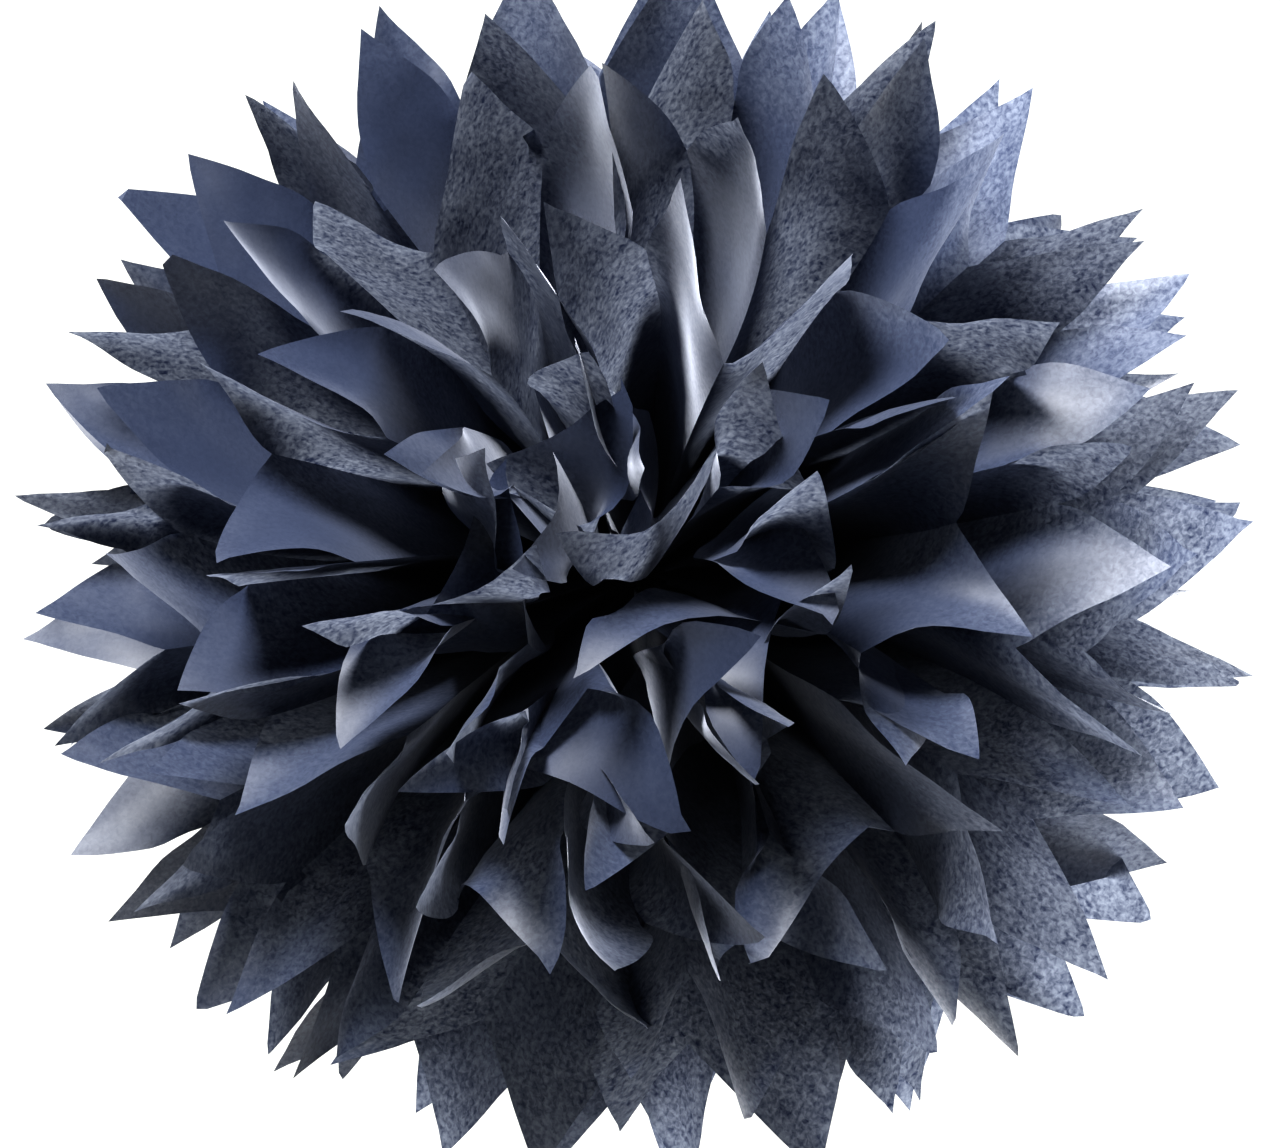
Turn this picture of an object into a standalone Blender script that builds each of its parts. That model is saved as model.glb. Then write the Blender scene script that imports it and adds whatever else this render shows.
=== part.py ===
"""Tissue paper pom pom, 20 inches across.

Ten sheets of tissue paper are laid on each other, folded together like an accordion, tied
round the middle with soft wire and cut to a point at both ends. The layers are then pulled
apart one by one, five to the front and five to the back, so each folded strip opens into a
left and a right fan and every pleat ends in one leaf-shaped tip.

Frame: metres, +Z up as the pom pom hangs, the flower faces -Y, the folded strip ran along X.
The origin is the middle of the wire tie, which everything hangs from.
"""
import math
import random

import bmesh
import bpy
from mathutils import Vector

# Paper, as it is bought and folded
SHEET_WIDTH = 0.508          # along the folded strip, so also from tip to tip
SHEET_LENGTH = 0.762         # across the folds
PLEATS = 15                  # pleats in one sheet
SHEETS_TO_A_SIDE = 5         # layers pulled to the front, and as many to the back
PAPER_THICKNESS = 0.0002
POINT_DEPTH = 0.049          # how deep each end is cut to a point

# Tie in the middle
NECK_WIDTH = 0.012           # the gathered strip across the wire loop, along Z
NECK_HALF_LENGTH = 0.006     # from the middle to where the pleats start to open
LAYER_PITCH = 0.0011         # from one gathered sheet to the next
WIRE_DIAMETER = 0.0010
WIRE_CLEARANCE = 0.0004      # from the paper to the wire
TWIST_FOOT = 0.0015          # from the loop to where the twist starts
TWIST_LENGTH = 0.022         # twisted tail between the loop and the hanging eye
TWIST_TURNS = 4
STRAND_CLEARANCE = 0.0002    # between the two strands of the twist
EYE_RADIUS = 0.005           # hanging eye at the end of the twist
LOOP_CORNER_POINTS = 4
TWIST_POINTS = 8             # points in one turn of the twist
EYE_POINTS = 12

# How the layers open
TOP_LEAN = 71.0              # degrees from the middle plane to the layer nearest the viewer
LEAN_GROWTH = 0.05           # from 0 to 1: how much wider apart the layers near the viewer stand
ROOT_SPREAD = 0.004          # how far the pleats have spread where they begin to fan out
BEND_RADIUS = 0.058          # distance from the tie where a layer has nearly reached its lean
BEND_SHARE = 0.84            # share of the lean that it has there
BELLY_SHARE = 0.48           # where the pleats are deepest, on the way from there to the points
SEAM_CLEARANCE = 0.0007      # from the wire's tail to the fans' free edges on either side
ROOT_SEAM_CLEARANCE = 0.002  # from the gathered strip's end to the fans' free edges
RIM_SEAM_GAP = 0.0006        # half the gap between the left and the right fan at the rim
SEAM_WANDER = 8.0            # degrees that a layer's seam strays from upright at the rim
PLEAT_FULLNESS = 0.85        # share of the full fold depth that is left after fluffing
ROOT_FOLD = 0.0008           # half the fold depth at the tie
BEND_FOLD = 0.012            # half the fold depth where the layers bend away
FREE_LEAN = 68.0             # degrees; beyond this lean the folds are held back by their neighbours
STEEPEST_LEAN = 84.0         # degrees; no fold comes nearer the middle of the flower than this

# Hand work, which is never quite even
SEED = 24
FOLD_SPREAD = 0.30           # how unevenly the whole stack of pleats is spread, as a share
FOLLOW = 0.5                 # how much each layer takes after the one behind it
FOLD_SHIFT = 0.34            # how far one layer's fold strays at the rim, as a share of a pleat
TOP_FOLD_SHIFT = 0.38        # the same for the layer nearest the middle of the flower
LEAN_SPREAD = 0.24           # share of the space between layers that a petal may stray
TIP_FLARE = 5.0              # degrees that a tip curls forward or back
TIP_TWIST = 0.22             # how far a tip is turned sideways, as a share of its pleat's opening
BOW = 0.08                   # how far a pleat bellies out, as a share of its opening
TILT_START = 0.085           # distance from the tie where a petal begins to stand up
TILT_REACH = 0.05            # and over which it comes to its tilt
TOP_TILT = 8.0               # degrees that the petals in the middle of the flower stand up
TILT_SPREAD = 4.0            # and how far one petal may be from that
CURL_START = 0.145           # distance from the tie where a petal begins to curl
RIM_CURL = -5.0              # degrees that a petal at the rim curls, below zero away from the middle
TOP_CURL = -25.0             # and one in the middle of the flower
CURL_SPREAD = 45.0           # and how far one petal may be from that

FAN_ANGLE = math.pi
PLEAT_WIDTH = SHEET_LENGTH / PLEATS
TIP_RADIUS = SHEET_WIDTH / 2.0
NOTCH_RADIUS = TIP_RADIUS - POINT_DEPTH
ROOT_RADIUS = NECK_WIDTH / 2.0 + ROOT_SPREAD
BELLY_RADIUS = BEND_RADIUS + BELLY_SHARE * (NOTCH_RADIUS - BEND_RADIUS)
ROOT_SEAM_GAP = NECK_HALF_LENGTH + ROOT_SEAM_CLEARANCE
SEAM_GAP = WIRE_DIAMETER + STRAND_CLEARANCE / 2.0 + SEAM_CLEARANCE
HEIGHTS = [(layer + 0.5) / (SHEETS_TO_A_SIDE - 0.5) for layer in range(SHEETS_TO_A_SIDE)]
LEANS = [TOP_LEAN * ((1.0 - LEAN_GROWTH) * height + LEAN_GROWTH * height ** 3) for height in HEIGHTS]

PAPER_COLOUR = (0.028, 0.036, 0.068, 1.0)
WIRE_COLOUR = (0.10, 0.16, 0.09, 1.0)


def clear_scene():
    """Start from an empty scene."""
    for old in list(bpy.data.objects):
        bpy.data.objects.remove(old, do_unlink=True)


def material(name, colour, roughness, metallic):
    """A plain material for one sub-part."""
    made = bpy.data.materials.new(name)
    made.use_nodes = True
    shader = made.node_tree.nodes["Principled BSDF"]
    shader.inputs["Base Color"].default_value = colour
    shader.inputs["Roughness"].default_value = roughness
    shader.inputs["Metallic"].default_value = metallic
    return made


def smooth(value):
    """Ease from 0 to 1."""
    value = min(max(value, 0.0), 1.0)
    return value * value * (3.0 - 2.0 * value)


def following_draws(seed, count):
    """Random rows from -1 to 1, one for each sheet from back to front, each like the one before."""
    rng = random.Random(seed)
    row = [rng.uniform(-1.0, 1.0) for _ in range(count)]
    rows = {}
    layers = range(SHEETS_TO_A_SIDE)
    for sheet in [(layer, -1) for layer in reversed(layers)] + [(layer, 1) for layer in layers]:
        row = [FOLLOW * last + (1.0 - FOLLOW) * rng.uniform(-1.0, 1.0) for last in row]
        rows[sheet] = row
    return rows


def stack_folds(side):
    """Angles of the folds in the opened stack: all its layers share the wide and narrow pleats."""
    rng = random.Random(SEED + (side > 0))
    steps = [1.0 + FOLD_SPREAD * rng.uniform(-1.0, 1.0) for _ in range(PLEATS)]
    total = sum(steps)
    angles = [-FAN_ANGLE / 2.0]
    for step in steps:
        angles.append(angles[-1] + FAN_ANGLE * step / total)
    return angles


class Fan:
    """One half of one sheet: the pleats that open on one side of the tie."""

    def __init__(self, layer, facing, side):
        self.layer = layer
        self.facing = facing
        self.side = side
        stack = (layer + 0.5) * LAYER_PITCH
        self.root_radius = math.hypot(ROOT_RADIUS, stack)
        self.root_lean = math.atan2(stack, ROOT_RADIUS)
        rng = random.Random(SEED + 1000 * layer + 100 * (facing > 0) + 10 * (side > 0))
        shifts = following_draws(SEED + 2 + (side > 0), PLEATS + 1)[layer, facing]
        self.stray = following_draws(SEED + 4 + (side > 0), PLEATS + 1)[layer, facing]
        seams = following_draws(SEED + 6, 4)[layer, facing]
        self.stray[0] = seams[0]
        self.stray[PLEATS] = seams[1]
        self.seams = [side * math.radians(SEAM_WANDER) * seam for seam in seams[2:]]
        self.even = [-FAN_ANGLE / 2.0 + FAN_ANGLE * j / PLEATS for j in range(PLEATS + 1)]
        self.stack = stack_folds(side)
        shift = FOLD_SHIFT + (TOP_FOLD_SHIFT - FOLD_SHIFT) * HEIGHTS[layer] ** 2
        self.rim = list(self.stack)
        for fold in range(1, PLEATS):
            before = self.stack[fold] - self.stack[fold - 1]
            after = self.stack[fold + 1] - self.stack[fold]
            self.rim[fold] += shift * min(before, after) * shifts[fold]
        height = HEIGHTS[layer]
        tilts = following_draws(SEED + 8 + (side > 0), PLEATS)[layer, facing]
        curls = following_draws(SEED + 10 + (side > 0), PLEATS)[layer, facing]
        self.tilt = [math.radians(TOP_TILT * height ** 2 + TILT_SPREAD * tilt) for tilt in tilts]
        self.curl = [math.radians(RIM_CURL + (TOP_CURL - RIM_CURL) * height + CURL_SPREAD * curl)
                     for curl in curls]
        self.bow = [rng.uniform(-1.0, 1.0) for _ in range(PLEATS)]
        self.flare = [rng.uniform(-0.6, 1.0) for _ in range(PLEATS)]
        self.twist = [rng.uniform(-1.0, 1.0) for _ in range(PLEATS)]

    def room(self):
        """Degrees down to the next layer."""
        if self.layer == 0:
            return 2.0 * LEANS[0]
        return LEANS[self.layer] - LEANS[self.layer - 1]

    def lean(self, radius):
        """Lean of the layer's middle surface at a distance from the tie, in radians."""
        full = math.radians(LEANS[self.layer])
        if radius <= BEND_RADIUS:
            share = (radius - self.root_radius) / (BEND_RADIUS - self.root_radius)
            return self.root_lean + (full * BEND_SHARE - self.root_lean) * share
        share = smooth((radius - BEND_RADIUS) / (NOTCH_RADIUS - BEND_RADIUS))
        return full * (BEND_SHARE + (1.0 - BEND_SHARE) * share)

    def fold_angle(self, fold, radius):
        share = smooth((radius - BEND_RADIUS) / (NOTCH_RADIUS - BEND_RADIUS))
        seam = share * (self.seams[0] + (self.seams[1] - self.seams[0]) * fold / PLEATS)
        if radius <= BELLY_RADIUS:
            share = smooth((radius - ROOT_RADIUS) / (BELLY_RADIUS - ROOT_RADIUS))
            return seam + self.even[fold] + (self.stack[fold] - self.even[fold]) * share
        return seam + self.stack[fold] + (self.rim[fold] - self.stack[fold]) * self.loose(radius)

    def loose(self, radius):
        """Share of its freedom that the paper has: none in the nested pleats, all at the rim."""
        return smooth((radius - BELLY_RADIUS) / (NOTCH_RADIUS - BELLY_RADIUS))

    def fold_depth(self, radius):
        """Half the depth of the pleats: the paper keeps its width, so what fans out gets flatter."""
        spread = FAN_ANGLE * radius * math.cos(self.lean(radius)) / PLEATS
        full = 0.5 * PLEAT_FULLNESS * math.sqrt(max(PLEAT_WIDTH ** 2 - spread ** 2, 0.0))
        if radius <= BEND_RADIUS:
            share = (radius - self.root_radius) / (BEND_RADIUS - self.root_radius)
            return ROOT_FOLD + (min(BEND_FOLD, full) - ROOT_FOLD) * share
        share = smooth((radius - BEND_RADIUS) / (BELLY_RADIUS - BEND_RADIUS))
        return BEND_FOLD + (full - BEND_FOLD) * share

    def ridge(self, fold):
        """1 where the fold stands up from its layer, -1 where it is a valley."""
        return self.facing * (1 if fold % 2 else -1)

    def bend(self, pleat, radius):
        """Lean that a petal gains by standing up from its layer and curling, in radians."""
        stood = max(radius - TILT_START, 0.0)
        reach = TIP_RADIUS - CURL_START
        out = max(radius - CURL_START, 0.0) / reach
        lift = self.tilt[pleat] * stood * smooth(stood / TILT_REACH)
        lift += 0.5 * self.curl[pleat] * reach * out ** 2
        return lift / radius

    def fold_bend(self, fold, radius):
        """A fold goes half the way of each of the petals that meet in it."""
        petals = [pleat for pleat in (fold - 1, fold) if 0 <= pleat < PLEATS]
        return sum(self.bend(pleat, radius) for pleat in petals) / len(petals)

    def fold_point(self, fold, radius):
        stray = math.radians(self.room() * LEAN_SPREAD * self.stray[fold]) * self.loose(radius)
        lean = self.lean(radius) + stray + self.ridge(fold) * self.fold_depth(radius) / radius
        lean += self.fold_bend(fold, radius)
        return self.place(self.fold_angle(fold, radius), lean, radius)

    def middle_point(self, pleat, radius):
        angle = 0.5 * (self.fold_angle(pleat, radius) + self.fold_angle(pleat + 1, radius))
        stray = 0.5 * (self.stray[pleat] + self.stray[pleat + 1])
        loose = self.loose(radius)
        lean = self.lean(radius) + math.radians(self.room() * LEAN_SPREAD * stray) * loose
        width = self.fold_angle(pleat + 1, radius) - self.fold_angle(pleat, radius)
        lean += loose * BOW * width * math.cos(lean) * self.bow[pleat] + self.bend(pleat, radius)
        return self.place(angle, lean, radius)

    def tip_point(self, pleat):
        low = self.fold_angle(pleat, NOTCH_RADIUS)
        high = self.fold_angle(pleat + 1, NOTCH_RADIUS)
        angle = 0.5 * (low + high) + TIP_TWIST * (high - low) * self.twist[pleat]
        stray = 0.5 * (self.stray[pleat] + self.stray[pleat + 1])
        lean = math.radians(LEANS[self.layer] + self.room() * LEAN_SPREAD * stray)
        lean += math.radians(TIP_FLARE * self.flare[pleat]) + self.bend(pleat, TIP_RADIUS)
        return self.place(angle, lean, TIP_RADIUS)

    def place(self, angle, lean, radius):
        """From fan angle, lean and distance from the tie to a point."""
        free = math.radians(FREE_LEAN)
        give = math.radians(STEEPEST_LEAN) - free
        if lean > free:
            lean = free + give * (1.0 - math.exp((free - lean) / give))
        seam = ROOT_SEAM_GAP
        seam += (SEAM_GAP - seam) * smooth((radius - ROOT_RADIUS) / (BEND_RADIUS - ROOT_RADIUS))
        seam += (RIM_SEAM_GAP - SEAM_GAP) * smooth((radius - BEND_RADIUS) / (BELLY_RADIUS - BEND_RADIUS))
        across = radius * math.cos(lean)
        return Vector((self.side * (seam + across * math.cos(angle)),
                       -self.facing * radius * math.sin(lean),
                       across * math.sin(angle)))


def neck_point(layer, facing, side, fold):
    """A fold where it passes through the wire loop, gathered flat."""
    across = NECK_WIDTH * (fold / PLEATS - 0.5)
    return Vector((side * NECK_HALF_LENGTH, -facing * (layer + 0.5) * LAYER_PITCH, across))


def add_fan(mesh, fan, neck_row):
    """Panels of one fan, row by row outwards, ending in the pointed tips."""
    inner_folds = neck_row
    inner_middles = None
    rows = ((fan.root_radius, False), (BEND_RADIUS, False), (BELLY_RADIUS, True), (NOTCH_RADIUS, True))
    for radius, with_middles in rows:
        folds = [mesh.verts.new(fan.fold_point(j, radius)) for j in range(PLEATS + 1)]
        middles = None
        if with_middles:
            middles = [mesh.verts.new(fan.middle_point(j, radius)) for j in range(PLEATS)]
        for j in range(PLEATS):
            if middles is None:
                mesh.faces.new((inner_folds[j], inner_folds[j + 1], folds[j + 1]))
                mesh.faces.new((inner_folds[j], folds[j + 1], folds[j]))
            elif inner_middles is None:
                mesh.faces.new((inner_folds[j], middles[j], folds[j]))
                mesh.faces.new((inner_folds[j], inner_folds[j + 1], middles[j]))
                mesh.faces.new((inner_folds[j + 1], folds[j + 1], middles[j]))
            else:
                mesh.faces.new((inner_folds[j], middles[j], folds[j]))
                mesh.faces.new((inner_folds[j], inner_middles[j], middles[j]))
                mesh.faces.new((inner_middles[j], inner_folds[j + 1], middles[j]))
                mesh.faces.new((inner_folds[j + 1], folds[j + 1], middles[j]))
        inner_folds = folds
        inner_middles = middles
    for j in range(PLEATS):
        tip = mesh.verts.new(fan.tip_point(j))
        mesh.faces.new((inner_folds[j], inner_middles[j], tip))
        mesh.faces.new((inner_middles[j], inner_folds[j + 1], tip))


def tissue_sheet(name, layer, facing, finish):
    """One whole sheet: both fans and the gathered neck between them."""
    mesh = bmesh.new()
    necks = {}
    for side in (1, -1):
        necks[side] = [mesh.verts.new(neck_point(layer, facing, side, j)) for j in range(PLEATS + 1)]
    for j in range(PLEATS):
        mesh.faces.new((necks[-1][j], necks[1][j], necks[1][j + 1], necks[-1][j + 1]))
    for side in (1, -1):
        add_fan(mesh, Fan(layer, facing, side), necks[side])
    bmesh.ops.triangulate(mesh, faces=mesh.faces)
    bmesh.ops.recalc_face_normals(mesh, faces=mesh.faces)
    data = bpy.data.meshes.new(name)
    mesh.to_mesh(data)
    mesh.free()
    data.materials.append(finish)
    sheet = bpy.data.objects.new(name, data)
    bpy.context.collection.objects.link(sheet)
    thickness = sheet.modifiers.new("paper", 'SOLIDIFY')
    thickness.thickness = PAPER_THICKNESS
    thickness.offset = 0.0


def wire_path():
    """Middle line of the wire: round the gathered strip, up one strand, round the eye and back."""
    wire = WIRE_DIAMETER / 2.0
    reach = WIRE_CLEARANCE + wire
    stack = (SHEETS_TO_A_SIDE - 0.5) * LAYER_PITCH + PAPER_THICKNESS / 2.0
    half_z = NECK_WIDTH / 2.0
    strand = wire + STRAND_CLEARANCE / 2.0
    points = []
    corners = ((1, 1, 90.0), (1, -1, 0.0), (-1, -1, -90.0), (-1, 1, -180.0))
    for sign_y, sign_z, start in corners:
        for step in range(LOOP_CORNER_POINTS):
            turn = math.radians(start - 90.0 * step / (LOOP_CORNER_POINTS - 1))
            points.append(Vector((0.0,
                                  sign_y * stack + reach * math.cos(turn),
                                  sign_z * half_z + reach * math.sin(turn))))
    twist_foot = half_z + reach + TWIST_FOOT
    steps = TWIST_TURNS * TWIST_POINTS
    up = []
    down = []
    for step in range(steps + 1):
        turn = 2.0 * math.pi * step / TWIST_POINTS
        height = twist_foot + TWIST_LENGTH * step / steps
        up.append(Vector((-strand * math.sin(turn), -strand * math.cos(turn), height)))
        down.append(Vector((strand * math.sin(turn), strand * math.cos(turn), height)))
    points.extend(up)
    eye_middle = twist_foot + TWIST_LENGTH + EYE_RADIUS
    for step in range(1, EYE_POINTS):
        turn = 2.0 * math.pi * (step / EYE_POINTS)
        points.append(Vector((0.0, -EYE_RADIUS * math.sin(turn), eye_middle - EYE_RADIUS * math.cos(turn))))
    points.extend(reversed(down))
    return points


def wire_tie(finish):
    """Soft wire wound once round the strip, its ends twisted together and bent into an eye."""
    curve = bpy.data.curves.new("wire_tie", 'CURVE')
    curve.dimensions = '3D'
    curve.bevel_depth = WIRE_DIAMETER / 2.0
    curve.bevel_resolution = 1
    curve.resolution_u = 1
    spline = curve.splines.new('POLY')
    path = wire_path()
    spline.points.add(len(path) - 1)
    for point, place in zip(spline.points, path):
        point.co = (place.x, place.y, place.z, 1.0)
    spline.use_cyclic_u = True
    curve.materials.append(finish)
    tie = bpy.data.objects.new("wire_tie", curve)
    bpy.context.collection.objects.link(tie)


def main():
    clear_scene()
    paper = material("tissue_paper", PAPER_COLOUR, 0.85, 0.0)
    wire_tie(material("soft_wire", WIRE_COLOUR, 0.5, 1.0))
    for facing, where in ((1, "front"), (-1, "back")):
        for layer in range(SHEETS_TO_A_SIDE):
            tissue_sheet("%s_sheet_%d" % (where, layer + 1), layer, facing, paper)


main()
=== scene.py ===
"""Tissue paper pom pom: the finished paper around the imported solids.

Every sheet of tissue is built again in full: the same folds, leans and seams as its solid, with
the soft bends between them, bellied pleats, curled and rolled points, small wrinkles and the
cloudy, see-through surface of dyed tissue paper.
"""
import math
import random

import bpy
import numpy as np
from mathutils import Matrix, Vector, noise


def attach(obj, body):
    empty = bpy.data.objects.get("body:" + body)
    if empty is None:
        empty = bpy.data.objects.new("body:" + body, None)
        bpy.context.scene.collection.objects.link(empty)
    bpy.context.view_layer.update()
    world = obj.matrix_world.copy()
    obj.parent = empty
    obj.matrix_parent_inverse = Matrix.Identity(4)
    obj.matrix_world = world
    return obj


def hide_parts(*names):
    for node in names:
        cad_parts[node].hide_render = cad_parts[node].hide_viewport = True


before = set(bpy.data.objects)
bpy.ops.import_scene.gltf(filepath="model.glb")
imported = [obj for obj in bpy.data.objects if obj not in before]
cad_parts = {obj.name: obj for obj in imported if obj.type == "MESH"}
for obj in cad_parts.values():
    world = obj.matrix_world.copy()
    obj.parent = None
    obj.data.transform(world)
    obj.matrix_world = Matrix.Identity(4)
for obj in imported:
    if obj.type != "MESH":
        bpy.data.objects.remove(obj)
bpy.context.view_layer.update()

bl_info = {
    "name": "Tissue Paper Pom Pom",
    "version": (1, 0, 0),
    "blender": (4, 5, 0),
    "location": "View3D > Sidebar > Pom Pom",
    "description": "Builds a hanging pom pom from pleated, tied and cut sheets of tissue paper",
    "category": "Object",
}

BODY = "root"
WIRE_SLOT = "soft_wire"
MM = 0.001


class PomPomSizes(bpy.types.PropertyGroup):
    """How the paper is folded, tied, cut and opened. The solids share all but the pleat fullness."""

    sheet_width: bpy.props.FloatProperty(
        name="Sheet Width", description="Along the folded strip, so from tip to tip",
        default=0.508, unit='LENGTH')
    sheet_length: bpy.props.FloatProperty(
        name="Sheet Length", description="Across the folds", default=0.762, unit='LENGTH')
    pleats: bpy.props.IntProperty(name="Pleats", description="Pleats in one sheet", default=15)
    to_a_side: bpy.props.IntProperty(
        name="Sheets To A Side", description="Layers pulled to the front, and as many to the back",
        default=5)
    point_depth: bpy.props.FloatProperty(
        name="Point Depth", description="How deep each end is cut to a point",
        default=0.049, unit='LENGTH')
    neck_width: bpy.props.FloatProperty(
        name="Neck Width", description="The gathered strip across the wire loop",
        default=0.012, unit='LENGTH')
    layer_pitch: bpy.props.FloatProperty(
        name="Layer Pitch", description="From one gathered sheet to the next",
        default=0.0011, unit='LENGTH')
    wire_diameter: bpy.props.FloatProperty(
        name="Wire Diameter", description="The soft wire of the tie", default=0.0010, unit='LENGTH')
    top_lean: bpy.props.FloatProperty(
        name="Top Lean", description="Degrees from the middle plane to the layer nearest the viewer",
        default=71.0)
    lean_growth: bpy.props.FloatProperty(
        name="Lean Growth", description="How much wider apart the layers near the viewer stand",
        default=0.05)
    bend_radius: bpy.props.FloatProperty(
        name="Bend Radius", description="Where a layer has nearly reached its lean",
        default=0.058, unit='LENGTH')
    fullness: bpy.props.FloatProperty(
        name="Pleat Fullness", description="Share of the full fold depth left after fluffing",
        default=0.92)
    seed: bpy.props.IntProperty(
        name="Seed", description="Another seed spreads the petals anew", default=24)


class PomPomColours(bpy.types.PropertyGroup):
    """Colours as a maker would name them, in sRGB hex."""

    lit_paper: bpy.props.StringProperty(
        name="Paper", description="The paper where light falls on it", default="#222B41")
    thin_paper: bpy.props.StringProperty(
        name="Thin Paper", description="Light that comes through one layer", default="#C3CCDF")
    wire: bpy.props.StringProperty(name="Wire", description="Painted soft wire", default="#35502F")
    floor: bpy.props.StringProperty(
        name="Floor", description="Pale studio floor", default="#E9E8E2")


class PomPomStage(bpy.types.PropertyGroup):
    """Where the viewer stands, and the light."""

    azimuth: bpy.props.FloatProperty(
        name="Azimuth", description="Degrees that the viewer stands to the right of the flower's axis",
        default=4.0)
    elevation: bpy.props.FloatProperty(
        name="Elevation", description="Degrees that the viewer stands above it", default=3.0)
    distance: bpy.props.FloatProperty(
        name="Distance", description="From the viewer to the tie", default=1.6, unit='LENGTH')
    frame_width: bpy.props.FloatProperty(
        name="Frame Width", description="Width of what the picture takes in at the tie",
        default=0.527, unit='LENGTH')
    floor_drop: bpy.props.FloatProperty(
        name="Floor Drop", description="From the tie to the floor it hangs over",
        default=1.7, unit='LENGTH')


# Sizes that the solids share with the finished paper: metres, degrees and shares
BEND_SHARE = 0.84            # share of its lean that a layer has reached at the bend radius
BELLY_SHARE = 0.48           # where the pleats are deepest, on the way from there to the points
STRAND_CLEARANCE = 0.0002
SEAM_CLEARANCE = 0.0007      # from the wire's tail to the fans' free edges
RIM_SEAM_GAP = 0.0006        # half the gap between the left and the right fan at the rim
SEAM_WANDER = 8.0            # degrees that a seam strays from upright at the rim
ROOT_FOLD = 0.0008           # half the fold depth at the tie
FREE_LEAN = 68.0             # degrees; beyond this the folds are held back by their neighbours
STEEPEST_LEAN = 84.0
FOLD_SPREAD = 0.30           # how unevenly the whole stack of pleats is spread
FOLLOW = 0.5                 # how much each layer takes after the one behind it
FOLD_SHIFT = 0.34            # how far one layer's fold strays at the rim
TOP_FOLD_SHIFT = 0.38
LEAN_SPREAD = 0.24
TIP_FLARE = 5.0
TIP_TWIST = 0.22
BOW = 0.08
TILT_START = 0.085           # from the tie to where a petal begins to stand up
TILT_REACH = 0.05
TOP_TILT = 8.0
TILT_SPREAD = 4.0
CURL_START = 0.145           # and to where it begins to curl
RIM_CURL = -5.0
TOP_CURL = -25.0
CURL_SPREAD = 45.0

# Only in the finished paper
COLUMNS = 10                 # faces across one pleat
BODY_ROWS = 28
TIP_ROWS = 10
ROW_CROWDING = 1.25          # the rows stand closer together near the tie
BEND_FOLD = 0.024            # half the fold depth where the layers bend away
ROOT_SPREAD = 0.0004         # the paper opens right beside the wire loop
ROOT_SEAM_GAP = 0.0008       # and its free edges close over it
SWAY_REACH = 0.008           # metres from the loop to where the free edges have strayed aside
SEAM_SWAY = 14.0             # degrees that the seams of front and back stray apart near the tie
GATHER = 0.0004              # depth of the tiny pleats under the wire
OWN_CURL_START = 0.118       # metres from the tie to where a petal begins its own curl
CURL_START_SPREAD = 0.055    # and how much further out it may begin
OVER_START = 0.09            # and to where one may lean over the middle
FLARE_START = 0.17           # and to where its point begins to flare
ROUND_FOLD = 0.4             # how far the crisp folds have gone soft towards the rim
POINT_BULGE = 1.1            # 1 cuts the points with straight sides, more with rounder ones
RIM_LOOSE, TOP_LOOSE = 0.45, 0.90
OWN_CURL = 58.0              # degrees, for a petal that is quite loose
RIM_OWN_TILT, TOP_OWN_TILT = 2.0, 8.0
ROLL = 0.90                  # shares of a pleat's width
CUP, CUP_SPREAD = -0.16, 0.22
SWAY = 0.22
WRINKLE = 0.0012             # height of the soft wrinkles, metres
LONG_WRINKLE = (0.016, 0.045)    # their width across the pleat and length along it, metres
SHORT_WRINKLE = (0.009, 0.012)

# The dyed paper
GRAIN_MM = 2.2               # clumps of fibre; the fibres themselves are too fine to show
CLOUD_MM = 14.0
BETWEEN_CLOUDS = 0.86        # share of its brightness that the face keeps between the clouds
THROUGH_SHARE = 0.22         # share of the light that comes through one layer
THICK_TINT = (0.08, 0.10, 0.18)  # shares of a thin fleck's red, green and blue that a thick one lets by
SHEEN_TINT = "#D2D7E6"
CRISP_FOLD = 32.0            # degrees; a fold that turns more than this shows as a sharp line

SCUFFED_PAINT = 1.7          # how much brighter the wire's paint is where it is scuffed

# Where the two soft boxes stand, how wide they are, and their power in watts
WINDOW = ((-0.5, -1.15, 1.7), 0.8, 160.0, (1.0, 0.99, 0.96))
BRIGHT_WALL = ((1.0, 1.45, 0.0), 1.9, 140.0, (1.0, 1.0, 0.99))
FLOOR_RADIUS = 3.3

LEFT, RIGHT = -1, 1
INNERMOST, SECOND = 4, 3

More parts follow.
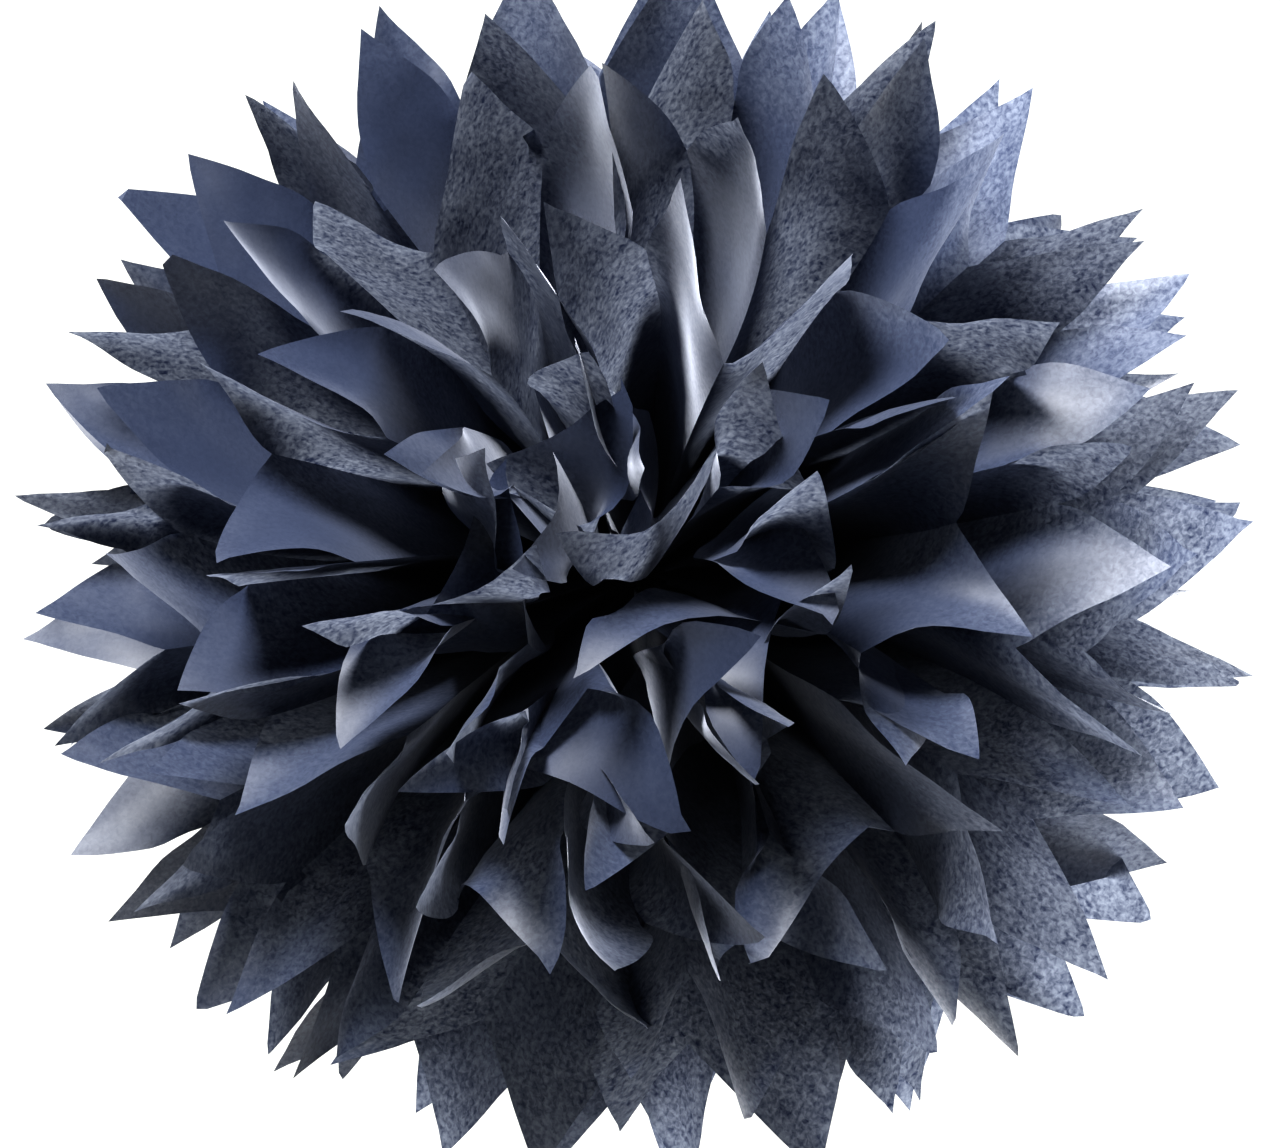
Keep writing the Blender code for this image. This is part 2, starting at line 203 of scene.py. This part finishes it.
# Petals of the front flower that were pulled into shape one by one: the layer, the fan and the
# pleat, counted from the lowest, then degrees that the petal leans over the middle and curls, and
# shares of a pleat that it is rolled, cupped and pushed aside
SHAPED = {
    (INNERMOST, RIGHT, 7): (16.0, -80.0, 0.45, -0.22, 0.10),
    (INNERMOST, RIGHT, 9): (6.0, -62.0, -0.50, -0.10, 0.10),
    (INNERMOST, RIGHT, 5): (22.0, -66.0, 0.30, -0.15, -0.15),
    (INNERMOST, RIGHT, 2): (18.0, -70.0, -0.35, -0.25, 0.0),
    (INNERMOST, LEFT, 0): (8.0, -44.0, 0.10, -0.35, 0.0),
    (INNERMOST, LEFT, 3): (24.0, -84.0, -0.50, -0.20, 0.10),
    (INNERMOST, LEFT, 5): (12.0, 118.0, 0.15, 0.10, 0.0),
    (INNERMOST, LEFT, 8): (14.0, -40.0, 0.30, -0.10, 0.0),
    (INNERMOST, LEFT, 10): (26.0, -76.0, 0.55, -0.15, -0.2),
    (INNERMOST, LEFT, 13): (20.0, -40.0, 0.20, -0.10, 0.0),
    (INNERMOST, RIGHT, 12): (22.0, -54.0, -0.20, -0.20, 0.0),
    (SECOND, RIGHT, 0): (6.0, -46.0, 0.80, -0.42, 0.15),
    (SECOND, RIGHT, 1): (2.0, 34.0, -0.90, -0.38, 0.0),
    (SECOND, RIGHT, 3): (10.0, -50.0, 0.85, -0.36, -0.10),
    (SECOND, LEFT, 0): (2.0, 30.0, -0.85, -0.40, -0.10),
    (SECOND, LEFT, 1): (8.0, -52.0, 0.90, -0.40, 0.10),
    (SECOND, LEFT, 3): (4.0, -40.0, -0.80, -0.34, 0.0),
}


def smooth(value):
    value = np.clip(value, 0.0, 1.0)
    return value * value * (3.0 - 2.0 * value)


def linear(code):
    """sRGB hex to linear colour."""
    levels = [int(code[i:i + 2], 16) / 255.0 for i in (1, 3, 5)]
    return [v / 12.92 if v <= 0.04045 else ((v + 0.055) / 1.055) ** 2.4 for v in levels] + [1.0]


def heights(sizes):
    return [(layer + 0.5) / (sizes.to_a_side - 0.5) for layer in range(sizes.to_a_side)]


def following_draws(sizes, seed, count):
    """Random rows from -1 to 1, one for each sheet from back to front, each like the one before."""
    rng = random.Random(seed)
    row = [rng.uniform(-1.0, 1.0) for _ in range(count)]
    rows = {}
    layers = range(sizes.to_a_side)
    for sheet in [(layer, -1) for layer in reversed(layers)] + [(layer, 1) for layer in layers]:
        row = [FOLLOW * last + (1.0 - FOLLOW) * rng.uniform(-1.0, 1.0) for last in row]
        rows[sheet] = row
    return rows


def stack_folds(sizes, side):
    """Angles of the folds in the opened stack: all its layers share the wide and narrow pleats."""
    rng = random.Random(sizes.seed + (side > 0))
    steps = [1.0 + FOLD_SPREAD * rng.uniform(-1.0, 1.0) for _ in range(sizes.pleats)]
    total = sum(steps)
    angles = [-math.pi / 2.0]
    for step in steps:
        angles.append(angles[-1] + math.pi * step / total)
    return angles


class Fan:
    """One half of one sheet: the pleats that open on one side of the tie."""

    def __init__(self, sizes, layer, facing, side):
        self.sizes = sizes
        self.layer = layer
        self.facing = facing
        self.side = side
        pleats = sizes.pleats
        self.tip = sizes.sheet_width / 2.0
        self.notch = self.tip - sizes.point_depth
        self.pleat_width = sizes.sheet_length / pleats
        self.root = sizes.neck_width / 2.0 + ROOT_SPREAD
        self.belly = sizes.bend_radius + BELLY_SHARE * (self.notch - sizes.bend_radius)
        stack = (layer + 0.5) * sizes.layer_pitch
        self.root_radius = math.hypot(self.root, stack)
        self.root_lean = math.atan2(stack, self.root)
        self.top = heights(sizes)[layer]
        leans = [sizes.top_lean * ((1.0 - sizes.lean_growth) * h + sizes.lean_growth * h ** 3)
                 for h in heights(sizes)]
        self.full_lean = math.radians(leans[layer])
        self.room = math.radians(leans[layer] - leans[layer - 1] if layer else 2.0 * leans[0])
        rng = random.Random(sizes.seed + 1000 * layer + 100 * (facing > 0) + 10 * (side > 0))
        shifts = following_draws(sizes, sizes.seed + 2 + (side > 0), pleats + 1)[layer, facing]
        stray = following_draws(sizes, sizes.seed + 4 + (side > 0), pleats + 1)[layer, facing]
        seams = following_draws(sizes, sizes.seed + 6, 4)[layer, facing]
        stray[0] = seams[0]
        stray[pleats] = seams[1]
        self.seams = [side * math.radians(SEAM_WANDER) * seam for seam in seams[2:]]
        self.even = np.array([-math.pi / 2.0 + math.pi * j / pleats for j in range(pleats + 1)])
        self.stack = np.array(stack_folds(sizes, side))
        shift = FOLD_SHIFT + (TOP_FOLD_SHIFT - FOLD_SHIFT) * self.top ** 2
        self.rim = self.stack.copy()
        for fold in range(1, pleats):
            before = self.stack[fold] - self.stack[fold - 1]
            after = self.stack[fold + 1] - self.stack[fold]
            self.rim[fold] += shift * min(before, after) * shifts[fold]
        self.stray = np.array(stray)
        tilts = following_draws(sizes, sizes.seed + 8 + (side > 0), pleats)[layer, facing]
        curls = following_draws(sizes, sizes.seed + 10 + (side > 0), pleats)[layer, facing]
        self.tilt = np.radians(TOP_TILT * self.top ** 2 + TILT_SPREAD * np.array(tilts))
        middle_curl = RIM_CURL + (TOP_CURL - RIM_CURL) * self.top
        self.curl = np.radians(middle_curl + CURL_SPREAD * np.array(curls))
        self.bow = np.array([rng.uniform(-1.0, 1.0) for _ in range(pleats)])
        self.flare = np.array([rng.uniform(-0.6, 1.0) for _ in range(pleats)])
        self.twist = np.array([rng.uniform(-1.0, 1.0) for _ in range(pleats)])
        self.shape_points(random.Random(
            sizes.seed + 77 * layer + 5000 * (facing > 0) + 900 * (side > 0)))

    def shape_points(self, rng):
        """How each petal's point is curled, rolled and cupped by hand."""
        pleats = range(self.sizes.pleats)
        loose = RIM_LOOSE + (TOP_LOOSE - RIM_LOOSE) * self.top ** 2
        tilt = RIM_OWN_TILT + (TOP_OWN_TILT - RIM_OWN_TILT) * self.top ** 2

        def draws(reach):
            return reach * np.array([rng.uniform(-1.0, 1.0) for _ in pleats])

        self.own_curl = np.radians(draws(loose * OWN_CURL))
        self.own_tilt = np.radians(draws(tilt))
        self.start = OWN_CURL_START + CURL_START_SPREAD * np.array([rng.random() for _ in pleats])
        self.over = np.zeros(self.sizes.pleats)
        self.roll = draws(loose * ROLL)
        self.cup = CUP + draws(loose * CUP_SPREAD)
        self.sway = draws(loose * SWAY)
        for pleat in pleats:
            shape = SHAPED.get((self.layer, self.side, pleat)) if self.facing > 0 else None
            if shape:
                self.over[pleat], self.own_curl[pleat] = np.radians(shape[:2])
                self.roll[pleat], self.cup[pleat], self.sway[pleat] = shape[2:]

    def lean(self, r):
        near = self.root_lean + (self.full_lean * BEND_SHARE - self.root_lean) * (
            (r - self.root_radius) / (self.sizes.bend_radius - self.root_radius))
        share = smooth((r - self.sizes.bend_radius) / (self.notch - self.sizes.bend_radius))
        far = self.full_lean * (BEND_SHARE + (1.0 - BEND_SHARE) * share)
        return np.where(r <= self.sizes.bend_radius, near, far)

    def loose(self, r):
        return smooth((r - self.belly) / (self.notch - self.belly))

    def fold_angle(self, fold, r):
        share = smooth((r - self.sizes.bend_radius) / (self.notch - self.sizes.bend_radius))
        seam = share * (self.seams[0] + (self.seams[1] - self.seams[0]) * fold / self.sizes.pleats)
        outer = (2.0 * fold / self.sizes.pleats - 1.0) ** 4
        near_tie = smooth((r - self.root) / SWAY_REACH) * (1.0 - share)
        seam = seam + self.side * self.facing * math.radians(SEAM_SWAY) * outer * near_tie
        near = smooth((r - self.root) / (self.belly - self.root))
        shared = self.even[fold] + (self.stack[fold] - self.even[fold]) * near
        own = self.stack[fold] + (self.rim[fold] - self.stack[fold]) * self.loose(r)
        return seam + np.where(r <= self.belly, shared, own)

    def fold_depth(self, r):
        spread = math.pi * r * np.cos(self.lean(r)) / self.sizes.pleats
        full = 0.5 * self.sizes.fullness * np.sqrt(np.maximum(self.pleat_width ** 2 - spread ** 2, 0.0))
        near = ROOT_FOLD + (np.minimum(BEND_FOLD, full) - ROOT_FOLD) * (
            (r - self.root_radius) / (self.sizes.bend_radius - self.root_radius))
        share = smooth((r - self.sizes.bend_radius) / (self.belly - self.sizes.bend_radius))
        far = BEND_FOLD + (full - BEND_FOLD) * share
        return np.where(r <= self.sizes.bend_radius, near, far)

    def ridge(self, fold):
        return self.facing * (1.0 if fold % 2 else -1.0)

    def stand(self, pleat, r):
        """Lean that a petal gains by standing up from its layer and curling."""
        pleat = min(max(pleat, 0), self.sizes.pleats - 1)
        stood = np.maximum(r - TILT_START, 0.0)
        reach = self.tip - CURL_START
        out = np.maximum(r - CURL_START, 0.0) / reach
        lift = self.tilt[pleat] * stood * smooth(stood / TILT_REACH)
        return (lift + 0.5 * self.curl[pleat] * reach * out ** 2) / r

    def base(self, pleat, u, r):
        """A point of the pleated sheet, u from one fold to the next, r along the paper."""
        inner = np.minimum(r, self.notch)
        low = self.fold_angle(pleat, inner)
        high = self.fold_angle(pleat + 1, inner)
        width = high - low
        loose = self.loose(r)
        past = np.clip((r - self.notch) / (self.tip - self.notch), 0.0, 1.0)
        angle = 0.5 * (low + high) + (u - 0.5) * width * inner / r
        angle = angle + TIP_TWIST * width * self.twist[pleat] * past
        stray = self.stray[pleat] + (self.stray[pleat + 1] - self.stray[pleat]) * u
        crisp = 1.0 - 2.0 * u
        round_fold = np.cos(math.pi * u)
        fold = crisp + (round_fold - crisp) * ROUND_FOLD * loose
        lean = self.lean(inner) + self.room * LEAN_SPREAD * stray * loose
        lean = lean + self.ridge(pleat) * fold * self.fold_depth(inner) / r
        own = self.stand(pleat, r)
        beside = np.where(u < 0.5, self.stand(pleat - 1, r), self.stand(pleat + 1, r))
        joined = (2.0 * u - 1.0) ** 2 * (1.0 - smooth(past / 0.5))
        flared = np.clip((r - FLARE_START) / (self.tip - FLARE_START), 0.0, 1.0)
        lean = lean + own + 0.5 * (beside - own) * joined
        lean = lean + math.radians(TIP_FLARE) * self.flare[pleat] * flared ** 2
        lean = lean + loose * BOW * width * np.cos(lean) * self.bow[pleat] * 4.0 * u * (1.0 - u)
        stood = np.maximum(r - OVER_START, 0.0)
        over = self.over[pleat] * stood * smooth(stood / TILT_REACH) / r
        side_share = 1.0 - joined * (1.0 - 0.5 * self.over_shared(pleat, u))
        return self.place(angle, lean, r, over * side_share)

    def over_shared(self, pleat, u):
        """At a fold, a petal goes half the way, or all of it with a neighbour that goes as far."""
        if not self.over[pleat]:
            return 0.0
        left = self.over[max(pleat - 1, 0)] / self.over[pleat]
        right = self.over[min(pleat + 1, self.sizes.pleats - 1)] / self.over[pleat]
        return 1.0 + np.where(u < 0.5, left, right)

    def place(self, angle, lean, r, over=0.0):
        sizes = self.sizes
        free = math.radians(FREE_LEAN)
        give = math.radians(STEEPEST_LEAN) - free
        held = free + give * (1.0 - np.exp(np.minimum((free - lean) / give, 0.0)))
        lean = np.where(lean > free, held, lean) + over
        beside_wire = sizes.wire_diameter + STRAND_CLEARANCE / 2.0 + SEAM_CLEARANCE
        seam = ROOT_SEAM_GAP + (beside_wire - ROOT_SEAM_GAP) * smooth(
            (r - self.root) / (sizes.bend_radius - self.root))
        seam = seam + (RIM_SEAM_GAP - beside_wire) * smooth(
            (r - sizes.bend_radius) / (self.belly - sizes.bend_radius))
        across = r * np.cos(lean)
        return np.stack((self.side * (seam + across * np.cos(angle)),
                         -self.facing * r * np.sin(lean),
                         across * np.sin(angle)), axis=-1)

    def middle_frame(self, pleat, r):
        """Directions along, across and up from the middle of a pleat."""
        step = 0.002
        half = np.full_like(r, 0.5)
        along = self.base(pleat, half, r + step) - self.base(pleat, half, r - step)
        along /= np.linalg.norm(along, axis=-1, keepdims=True)
        across = self.base(pleat, half + 0.1, r) - self.base(pleat, half - 0.1, r)
        across /= np.linalg.norm(across, axis=-1, keepdims=True)
        up = np.cross(along, across) * self.side * self.facing
        up /= np.linalg.norm(up, axis=-1, keepdims=True)
        return along, across, up

    def bend(self, pleat, u, r):
        """How far the hand-shaped curl, roll, cup and wrinkles move a point of one pleat."""
        along, across, up = self.middle_frame(pleat, r)
        reach = self.tip - self.start[pleat]
        out = np.clip((r - self.start[pleat]) / reach, 0.0, 1.0)
        turn = np.where(abs(self.own_curl[pleat]) < 0.01, 0.01, self.own_curl[pleat])
        lift = reach * (1.0 - np.cos(turn * out)) / turn
        shorten = reach * (out - np.sin(turn * out) / turn)
        stood = np.maximum(r - TILT_START, 0.0)
        lift = lift + self.own_tilt[pleat] * stood * smooth(stood / TILT_REACH)
        lift = lift + self.roll[pleat] * (u - 0.5) * self.pleat_width * out ** 1.5
        lift = lift + self.cup[pleat] * self.pleat_width * (4.0 * u * (1.0 - u) - 0.5) * out
        lift = lift + self.wrinkles(pleat, u, r)
        aside = self.sway[pleat] * self.pleat_width * out ** 2
        return up * lift[..., None] - along * shorten[..., None] + across * aside[..., None]

    def wrinkles(self, pleat, u, r):
        """Soft wrinkles that run over the whole sheet, so that neighbouring pleats share them."""
        across = (pleat + u) * self.pleat_width
        sheet = 3.7 * self.layer + 11.0 * self.facing + 23.0 * self.side
        height = []
        for x, along in zip(across.ravel().tolist(), r.ravel().tolist()):
            soft = noise.noise((x / LONG_WRINKLE[0], along / LONG_WRINKLE[1], sheet))
            small = noise.noise((x / SHORT_WRINKLE[0], along / SHORT_WRINKLE[1], sheet + 5.0))
            height.append(soft + 0.5 * small)
        calm = smooth((r - self.root) / TILT_REACH)
        return WRINKLE * np.array(height).reshape(r.shape) * calm

    def grid(self, u, r, t):
        """Finished points of every pleat: u and r hold one pleat's grid, t is 0 up to the notch."""
        pleats = range(self.sizes.pleats)
        own = [self.bend(j, u, r) for j in pleats]
        edge = np.abs(2.0 * u - 1.0) ** 2 * (1.0 - smooth(t / 0.5))
        found = []
        for j in pleats:
            low = own[j - 1][:, ::-1] if j else own[j]
            high = own[j + 1][:, ::-1] if j + 1 < self.sizes.pleats else own[j]
            neighbour = np.where((u < 0.5)[..., None], low, high)
            shared = 0.5 * (own[j] + neighbour)
            moved = own[j] + (shared - own[j]) * edge[..., None]
            found.append(self.base(j, u, r) + moved)
        return found


def sheet_mesh(name, sizes, layer, facing):
    """One whole sheet: both fans and the gathered neck between them."""
    points = []
    faces = []
    roots = {}
    for side in (1, -1):
        fan = Fan(sizes, layer, facing, side)
        steps = np.linspace(0.0, 1.0, BODY_ROWS)
        rows = fan.root_radius + (fan.notch - fan.root_radius) * steps ** ROW_CROWDING
        u, r = np.meshgrid(np.linspace(0.0, 1.0, COLUMNS + 1), rows)
        body = fan.grid(u, r, np.zeros_like(r))
        columns = sizes.pleats * COLUMNS + 1
        start = len(points)
        for i in range(BODY_ROWS):
            for j in range(sizes.pleats):
                points.extend(body[j][i, :COLUMNS].tolist())
            points.append(body[-1][i, COLUMNS].tolist())
        for i in range(BODY_ROWS - 1):
            for c in range(columns - 1):
                low = start + i * columns + c
                faces.append((low, low + 1, low + 1 + columns, low + columns))
        roots[side] = [start + c for c in range(columns)]
        last_row = start + (BODY_ROWS - 1) * columns
        add_points(fan, points, faces, last_row)
    neck = []
    for c in range(sizes.pleats * COLUMNS + 1):
        place = c / COLUMNS
        across = sizes.neck_width * (place / sizes.pleats - 0.5)
        wave = GATHER * math.cos(math.pi * place)
        neck.append(len(points))
        points.append((0.0, -facing * (layer + 0.5) * sizes.layer_pitch + wave, across))
    for side in (1, -1):
        for c in range(sizes.pleats * COLUMNS):
            faces.append((neck[c], neck[c + 1], roots[side][c + 1], roots[side][c]))
    data = bpy.data.meshes.new(name)
    data.from_pydata(points, [], faces)
    data.update()
    return data


def add_points(fan, points, faces, last_row):
    """The leaf-shaped points beyond the notches."""
    t = np.linspace(0.0, 1.0, TIP_ROWS + 1)[1:]
    share, t = np.meshgrid(np.linspace(0.0, 1.0, COLUMNS + 1), t)
    u = 0.5 + (share - 0.5) * (1.0 - t ** POINT_BULGE)
    r = fan.notch + (fan.tip - fan.notch) * t
    found = fan.grid(u, r, t)
    for j in range(fan.sizes.pleats):
        below = [last_row + j * COLUMNS + c for c in range(COLUMNS + 1)]
        for i in range(TIP_ROWS - 1):
            row = []
            for c in range(COLUMNS + 1):
                row.append(len(points))
                points.append(found[j][i, c].tolist())
            for c in range(COLUMNS):
                faces.append((below[c], below[c + 1], row[c + 1], row[c]))
            below = row
        apex = len(points)
        points.append(found[j][TIP_ROWS - 1, COLUMNS // 2].tolist())
        for c in range(COLUMNS):
            faces.append((below[c], below[c + 1], apex))


def node(tree, kind, settings=None, values=None, links=None):
    """Add one shader node, set its properties and sockets, and link what feeds it."""
    made = tree.nodes.new(kind)
    for key, value in (settings or {}).items():
        setattr(made, key, value)
    for key, value in (values or {}).items():
        made.inputs[key].default_value = value
    for key, source in (links or {}).items():
        tree.links.new(source, made.inputs[key])
    return made


def tissue_paper(colours):
    """Dyed tissue paper, made wet on a fine mesh and machine glazed on one side.

    The eye sees a soft, dark face with a faint bluish sheen where it is lit, and cloudy flecks of
    thick and thin fibre where light comes through a single layer.
    """
    made = bpy.data.materials.new("dyed_tissue_paper")
    made.use_nodes = True
    tree = made.node_tree
    tree.nodes.clear()
    place = node(tree, "ShaderNodeTexCoord").outputs["Object"]
    grain = node(tree, "ShaderNodeTexNoise",
                 values={"Scale": 1.0 / (GRAIN_MM * MM), "Detail": 2.0, "Roughness": 0.55,
                         "Distortion": 0.5},
                 links={"Vector": place}).outputs["Fac"]
    clouds = node(tree, "ShaderNodeTexNoise", values={"Scale": 1.0 / (CLOUD_MM * MM), "Detail": 2.0},
                  links={"Vector": place}).outputs["Fac"]
    weight = node(tree, "ShaderNodeMath", {"operation": 'MULTIPLY_ADD'}, {1: 0.30},
                  {0: clouds, 2: grain})
    lit = linear(colours.lit_paper)
    dark = [v * BETWEEN_CLOUDS for v in lit[:3]] + [1.0]
    shade = node(tree, "ShaderNodeMix", {"data_type": 'RGBA'}, {"A": dark, "B": lit},
                 {"Factor": clouds})
    bump = node(tree, "ShaderNodeBump", values={"Strength": 0.2, "Distance": 0.1 * MM},
                links={"Height": grain})
    face = node(tree, "ShaderNodeBsdfPrincipled",
                values={"Roughness": 0.52, "IOR": 1.47, "Sheen Weight": 0.65, "Sheen Roughness": 0.4,
                        "Sheen Tint": linear(SHEEN_TINT)},
                links={"Base Color": shade.outputs["Result"], "Normal": bump.outputs["Normal"]})
    thin = linear(colours.thin_paper)
    thick = [share * v for share, v in zip(THICK_TINT, thin)] + [1.0]
    ramp = node(tree, "ShaderNodeMapRange", values={"From Min": 0.40, "From Max": 0.92},
                links={"Value": weight.outputs["Value"]})
    through = node(tree, "ShaderNodeMix", {"data_type": 'RGBA'}, {"A": thick, "B": thin},
                   {"Factor": ramp.outputs["Result"]})
    glow = node(tree, "ShaderNodeBsdfTranslucent", links={"Color": through.outputs["Result"]})
    mixed = node(tree, "ShaderNodeMixShader", values={"Fac": THROUGH_SHARE})
    tree.links.new(face.outputs["BSDF"], mixed.inputs[1])
    tree.links.new(glow.outputs["BSDF"], mixed.inputs[2])
    node(tree, "ShaderNodeOutputMaterial", links={"Surface": mixed.outputs["Shader"]})
    return made


def painted_wire(colours):
    """Soft iron wire dipped in matte green paint: dull, with small scuffs along it."""
    made = bpy.data.materials.new("painted_soft_wire")
    made.use_nodes = True
    tree = made.node_tree
    shader = tree.nodes["Principled BSDF"]
    place = node(tree, "ShaderNodeTexCoord").outputs["Object"]
    scuffs = node(tree, "ShaderNodeTexNoise", values={"Scale": 1.0 / (1.5 * MM), "Detail": 3.0},
                  links={"Vector": place}).outputs["Fac"]
    paint = linear(colours.wire)
    worn = [v * SCUFFED_PAINT for v in paint[:3]] + [1.0]
    shade = node(tree, "ShaderNodeMix", {"data_type": 'RGBA'}, {"A": paint, "B": worn},
                 {"Factor": scuffs})
    tree.links.new(shade.outputs["Result"], shader.inputs["Base Color"])
    shader.inputs["Roughness"].default_value = 0.55
    return made


def studio_floor(colours):
    """Matte paper floor."""
    made = bpy.data.materials.new("matte_floor")
    made.use_nodes = True
    shader = made.node_tree.nodes["Principled BSDF"]
    shader.inputs["Base Color"].default_value = linear(colours.floor)
    shader.inputs["Roughness"].default_value = 0.9
    return made


class POMPOM_OT_tissue_sheets(bpy.types.Operator):
    """Fold, tie, cut and open every sheet of tissue paper"""

    bl_idname = "pompom.tissue_sheets"
    bl_label = "Tissue Sheets"

    def execute(self, context):
        sizes = context.scene.pom_pom_sizes
        paper = tissue_paper(context.scene.pom_pom_colours)
        for facing, where in ((1, "front"), (-1, "back")):
            for layer in range(sizes.to_a_side):
                stands_for = "%s_sheet_%d" % (where, layer + 1)
                data = sheet_mesh("%s_tissue_%d" % (where, layer + 1), sizes, layer, facing)
                data.shade_smooth()
                data.set_sharp_from_angle(angle=math.radians(CRISP_FOLD))
                data.materials.append(paper)
                sheet = bpy.data.objects.new(data.name, data)
                context.collection.objects.link(sheet)
                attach(sheet, BODY)
                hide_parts(stands_for)
        return {'FINISHED'}


class POMPOM_OT_wire_tie(bpy.types.Operator):
    """Paint the wire tie"""

    bl_idname = "pompom.wire_tie"
    bl_label = "Wire Tie"

    def execute(self, context):
        tie = bpy.data.objects["wire_tie"]
        tie.data.materials.clear()
        tie.data.materials.append(painted_wire(context.scene.pom_pom_colours))
        return {'FINISHED'}


def area_light(name, place, size, watts, colour):
    """A soft box that shines on the tie."""
    light = bpy.data.lights.new(name, 'AREA')
    light.shape = 'DISK'
    light.size = size
    light.energy = watts
    light.color = colour
    lamp = bpy.data.objects.new(name, light)
    lamp.location = place
    lamp.rotation_euler = (-Vector(place)).to_track_quat('-Z', 'Y').to_euler()
    lamp.visible_camera = False
    bpy.context.collection.objects.link(lamp)


class POMPOM_OT_stage(bpy.types.Operator):
    """Set the camera, the soft light, the pale surround and the floor"""

    bl_idname = "pompom.stage"
    bl_label = "Stage"

    def execute(self, context):
        scene = context.scene
        stage = scene.pom_pom_stage
        azimuth = math.radians(stage.azimuth)
        elevation = math.radians(stage.elevation)
        away = Vector((math.sin(azimuth) * math.cos(elevation),
                       -math.cos(azimuth) * math.cos(elevation),
                       math.sin(elevation)))
        lens = bpy.data.cameras.new("viewer")
        lens.lens = lens.sensor_width * stage.distance / stage.frame_width
        viewer = bpy.data.objects.new("viewer", lens)
        viewer.location = away * stage.distance
        viewer.rotation_euler = (-away).to_track_quat('-Z', 'Y').to_euler()
        context.collection.objects.link(viewer)
        scene.camera = viewer
        area_light("window", *WINDOW)
        area_light("bright_wall", *BRIGHT_WALL)
        surround(scene)
        floor_mesh = bpy.data.meshes.new("studio_floor")
        sides = 96
        turns = [2.0 * math.pi * k / sides for k in range(sides)]
        ring = [(FLOOR_RADIUS * math.cos(turn), FLOOR_RADIUS * math.sin(turn), -stage.floor_drop)
                for turn in turns]
        floor_mesh.from_pydata(ring, [], [tuple(range(sides))])
        floor_mesh.materials.append(studio_floor(scene.pom_pom_colours))
        floor = bpy.data.objects.new("studio_floor", floor_mesh)
        context.collection.objects.link(floor)
        return {'FINISHED'}


def surround(scene):
    """A pale, even surround: bright to look at, softer as a light."""
    world = bpy.data.worlds.new("pale_surround")
    world.use_nodes = True
    tree = world.node_tree
    tree.nodes.clear()
    seen = node(tree, "ShaderNodeBackground", values={"Color": linear("#FCFDF8"), "Strength": 1.0})
    light = node(tree, "ShaderNodeBackground", values={"Color": linear("#FFFFFF"), "Strength": 0.03})
    path = node(tree, "ShaderNodeLightPath").outputs["Is Camera Ray"]
    mixed = node(tree, "ShaderNodeMixShader", links={0: path})
    tree.links.new(light.outputs["Background"], mixed.inputs[1])
    tree.links.new(seen.outputs["Background"], mixed.inputs[2])
    node(tree, "ShaderNodeOutputWorld", links={"Surface": mixed.outputs["Shader"]})
    scene.world = world
    scene.view_settings.view_transform = 'Standard'
    scene.view_settings.look = 'High Contrast'


class POMPOM_PT_sidebar(bpy.types.Panel):
    """The pom pom's steps, in the order they are run"""

    bl_idname = "POMPOM_PT_sidebar"
    bl_label = "Tissue Paper Pom Pom"
    bl_space_type = 'VIEW_3D'
    bl_region_type = 'UI'
    bl_category = "Pom Pom"

    def draw(self, context):
        column = self.layout.column(align=True)
        for group in ("pom_pom_sizes", "pom_pom_colours", "pom_pom_stage"):
            settings = getattr(context.scene, group)
            for key in settings.__class__.__annotations__:
                column.prop(settings, key)
        for step in STEPS:
            column.operator(step.bl_idname)


GROUPS = {"pom_pom_sizes": PomPomSizes, "pom_pom_colours": PomPomColours, "pom_pom_stage": PomPomStage}
STEPS = (POMPOM_OT_stage, POMPOM_OT_wire_tie, POMPOM_OT_tissue_sheets)


def register():
    for made in (*GROUPS.values(), *STEPS, POMPOM_PT_sidebar):
        bpy.utils.register_class(made)
    for name, group in GROUPS.items():
        setattr(bpy.types.Scene, name, bpy.props.PointerProperty(type=group))


def unregister():
    for name in GROUPS:
        delattr(bpy.types.Scene, name)
    for made in reversed((*GROUPS.values(), *STEPS, POMPOM_PT_sidebar)):
        bpy.utils.unregister_class(made)


def main():
    register()
    bpy.ops.pompom.stage()
    bpy.ops.pompom.wire_tie()
    bpy.ops.pompom.tissue_sheets()


if __name__ == "__main__":
    main()
